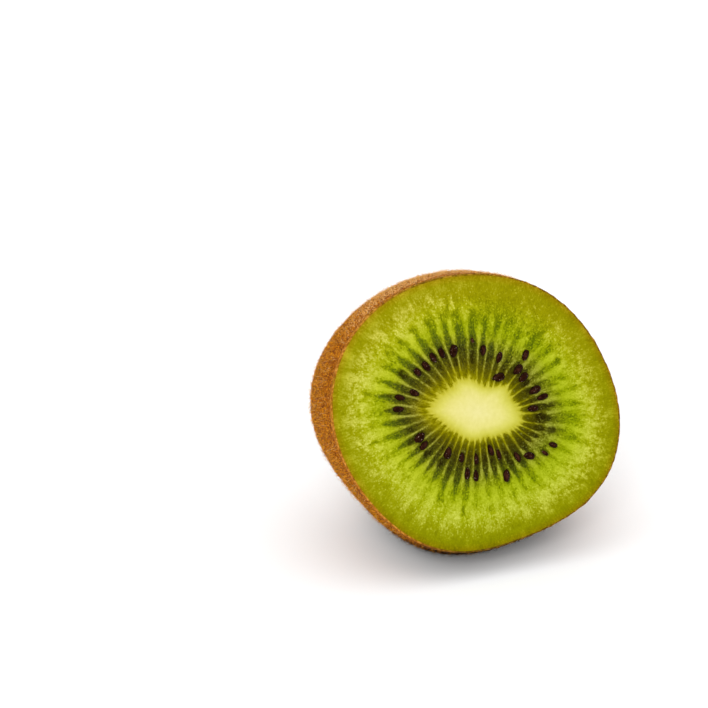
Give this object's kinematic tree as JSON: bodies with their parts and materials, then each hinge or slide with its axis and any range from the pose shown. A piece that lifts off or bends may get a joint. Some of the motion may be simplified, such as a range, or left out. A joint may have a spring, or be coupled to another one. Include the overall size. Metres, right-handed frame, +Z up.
{
  "type": "kiwi fruit half",
  "caption": "Half of a hairy brown-skinned kiwi fruit, cut across its middle, leaning back on a small flat spot with its green cut face to the front.",
  "frame": {"origin": "centre of the bounding box at its lowest level, which is the flat spot that the half rests on", "axes": "+X to the right along the cut face's width, +Y away from the cut face towards the far end, +Z up"},
  "size_m": [0.0534, 0.0412, 0.0491],
  "materials": {
    "flesh": "moist green fruit flesh, satin, with a pale core and darker rays",
    "skin": "thin dull brown fruit skin under a felt of short hairs",
    "hair": "short stiff golden-tan fruit hairs",
    "seed": "smooth wet dark brown seed coat",
    "husk": "dry dark brown scar and withered stubs"
  },
  "bodies": {
    "root": {"fruit_half": "flesh"}
  },
  "joints": []
}
